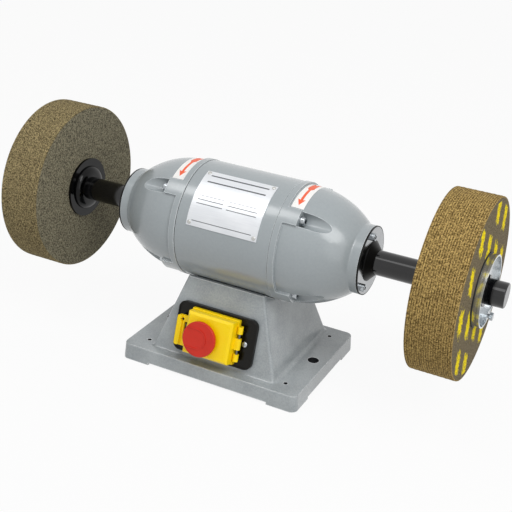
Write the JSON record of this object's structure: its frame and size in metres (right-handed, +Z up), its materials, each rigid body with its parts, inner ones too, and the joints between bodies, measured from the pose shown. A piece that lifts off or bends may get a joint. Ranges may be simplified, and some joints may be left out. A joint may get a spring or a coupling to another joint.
{
  "type": "bench polishing machine",
  "caption": "Double-ended bench polisher: round grey motor on a cast pedestal, a long spindle with a wide polishing wheel at each end, and a flap switch with a red stop mushroom.",
  "frame": {"origin": "middle of the footprint on the bench, under the middle of the spindle", "axes": "+X along the spindle to the operator's right, -Y towards the operator, +Z up"},
  "size_m": [0.604, 0.2, 0.2645],
  "materials": {
    "cast_grey": "matte fine-textured paint on a casting",
    "motor_grey": "smooth gloss paint",
    "plated_sheet": "zinc-plated sheet",
    "plated_screw": "bright zinc plating",
    "plate_silver": "satin sheet",
    "rivet_alloy": "satin",
    "core_steel": "varnished laminations",
    "winding_copper": "enamelled copper wire",
    "rotor_alloy": "as cast",
    "black_steel": "gloss black oxide",
    "bearing_steel": "ground steel",
    "gasket_rubber": "matte black",
    "cap_steel": "turned, bright",
    "flange_black": "gloss black enamel",
    "wheel_fibre": "non-woven abrasive fibre",
    "washer_rubber": "matte black",
    "cup_zinc": "bright zinc plating",
    "switch_black": "fine-grained black",
    "switch_yellow": "satin moulded yellow",
    "stop_red": "satin moulded red",
    "start_green": "satin moulded green",
    "pin_steel": "drawn wire",
    "contactor_grey": "moulded",
    "lead_black": "insulated lead"
  },
  "bodies": {
    "machine_frame": {"base_pedestal": "cast_grey", "motor_housing": "motor_grey", "left_end_bell": "motor_grey", "right_end_bell": "motor_grey", "bottom_cover": "plated_sheet", "cover_screws": "plated_screw", "motor_bolts": "plated_screw", "bell_screws": "plated_screw", "left_cap_screws": "plated_screw", "right_cap_screws": "plated_screw", "switch_screws": "plated_screw", "rating_plate": "plate_silver", "plate_rivets": "rivet_alloy", "stator_core": "core_steel", "stator_winding": "winding_copper", "left_bearing_outer": "bearing_steel", "right_bearing_outer": "bearing_steel", "left_cap_gasket": "gasket_rubber", "right_cap_gasket": "gasket_rubber", "left_shaft_seal": "gasket_rubber", "right_shaft_seal": "gasket_rubber", "gland_seal": "gasket_rubber", "left_bearing_cap": "cap_steel", "right_bearing_cap": "cap_steel", "switch_plate": "switch_black", "cable_gland": "switch_black", "gland_nut": "switch_black", "switch_frame": "switch_yellow", "hinge_pin": "pin_steel", "contactor_block": "contactor_grey", "motor_lead": "lead_black"},
    "spindle_set": {"spindle": "black_steel", "rotor_core": "core_steel", "rotor_end_rings": "rotor_alloy", "flange_grubs": "black_steel", "balance_screws": "plated_screw", "retaining_rings": "black_steel", "left_bearing_inner": "bearing_steel", "right_bearing_inner": "bearing_steel", "left_inner_flange": "flange_black", "right_inner_flange": "flange_black", "left_polishing_wheel": "wheel_fibre", "right_polishing_wheel": "wheel_fibre", "left_cup_washer": "washer_rubber", "right_cup_washer": "washer_rubber", "left_cup_flange": "cup_zinc", "right_cup_flange": "cup_zinc"},
    "left_ball_set": {"left_bearing_balls": "bearing_steel", "left_bearing_cage": "bearing_steel"},
    "right_ball_set": {"right_bearing_balls": "bearing_steel", "right_bearing_cage": "bearing_steel"},
    "flap": {"switch_flap": "switch_yellow"},
    "mushroom": {"mushroom_button": "stop_red", "mushroom_clip": "pin_steel"},
    "start": {"start_button": "start_green"},
    "stop": {"stop_button": "stop_red"}
  },
  "joints": [
    {"name": "spindle_spin", "type": "hinge", "parent": "machine_frame", "child": "spindle_set", "pos_m": [0, 0, 0.1645], "axis": [1, 0, 0], "continuous": true},
    {"name": "left_ball_roll", "type": "hinge", "parent": "machine_frame", "child": "left_ball_set", "pos_m": [-0.1408, 0, 0.1645], "axis": [1, 0, 0], "continuous": true},
    {"name": "right_ball_roll", "type": "hinge", "parent": "machine_frame", "child": "right_ball_set", "pos_m": [0.1408, 0, 0.1645], "axis": [1, 0, 0], "continuous": true},
    {"name": "flap_hinge", "type": "hinge", "parent": "machine_frame", "child": "flap", "pos_m": [0.0328, -0.07438, 0.0578], "axis": [0, 0.2588, 0.9659], "range_deg": [0, 100]},
    {"name": "mushroom_press", "type": "slide", "parent": "flap", "child": "mushroom", "axis": [0, 0.9659, -0.2588], "range_m": [0, 0.003], "stiffness_N_per_m": 300, "springref_m": -0.002},
    {"name": "start_press", "type": "slide", "parent": "machine_frame", "child": "start", "axis": [0, 0.9659, -0.2588], "range_m": [0, 0.003], "stiffness_N_per_m": 300, "springref_m": -0.002},
    {"name": "stop_press", "type": "slide", "parent": "machine_frame", "child": "stop", "axis": [0, 0.9659, -0.2588], "range_m": [0, 0.003]}
  ],
  "couplings": [
    {"joint": "left_ball_roll", "follows": "spindle_spin", "ratio": 0.41647},
    {"joint": "right_ball_roll", "follows": "spindle_spin", "ratio": 0.41647},
    {"joint": "stop_press", "follows": "mushroom_press", "ratio": 1}
  ]
}
